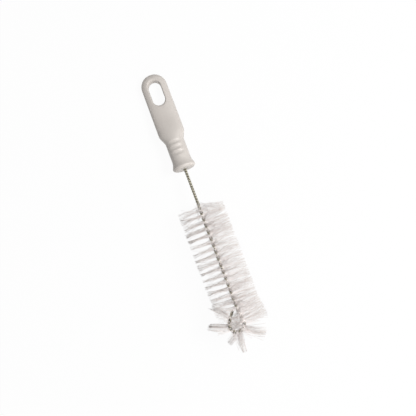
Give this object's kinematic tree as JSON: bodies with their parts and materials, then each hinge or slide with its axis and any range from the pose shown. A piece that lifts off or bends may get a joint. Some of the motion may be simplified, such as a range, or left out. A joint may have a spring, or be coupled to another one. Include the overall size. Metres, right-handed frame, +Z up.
{
  "type": "bottle brush",
  "caption": "Round bottle brush with a moulded plastic handle, a twisted wire stem, nylon bristles and a looped tip.",
  "frame": {"origin": "middle of the footprint's box, on the surface that the brush lies on", "axes": "+X along the brush from its handle to its looped tip, +Y to the brush's left seen from above with the tip ahead, +Z up"},
  "size_m": [0.3037, 0.0644, 0.0667],
  "materials": {
    "handle": "satin",
    "wire": "galvanised",
    "bristles": "translucent nylon"
  },
  "bodies": {
    "root": {"handle": "handle", "wire": "wire", "bristle_row_1": "bristles", "bristle_row_2": "bristles", "bristle_row_3": "bristles", "bristle_row_4": "bristles", "bristle_row_5": "bristles", "bristle_row_6": "bristles", "bristle_row_7": "bristles", "bristle_row_8": "bristles", "bristle_row_9": "bristles", "bristle_row_10": "bristles", "bristle_row_11": "bristles", "bristle_row_12": "bristles", "bristle_row_13": "bristles", "bristle_row_14": "bristles", "bristle_row_15": "bristles", "bristle_row_16": "bristles", "tip_row_1": "bristles", "tip_row_2": "bristles", "tip_row_3": "bristles", "tip_row_4": "bristles", "tip_row_5": "bristles", "tip_row_6": "bristles", "tip_row_7": "bristles", "tip_row_8": "bristles"}
  },
  "joints": []
}
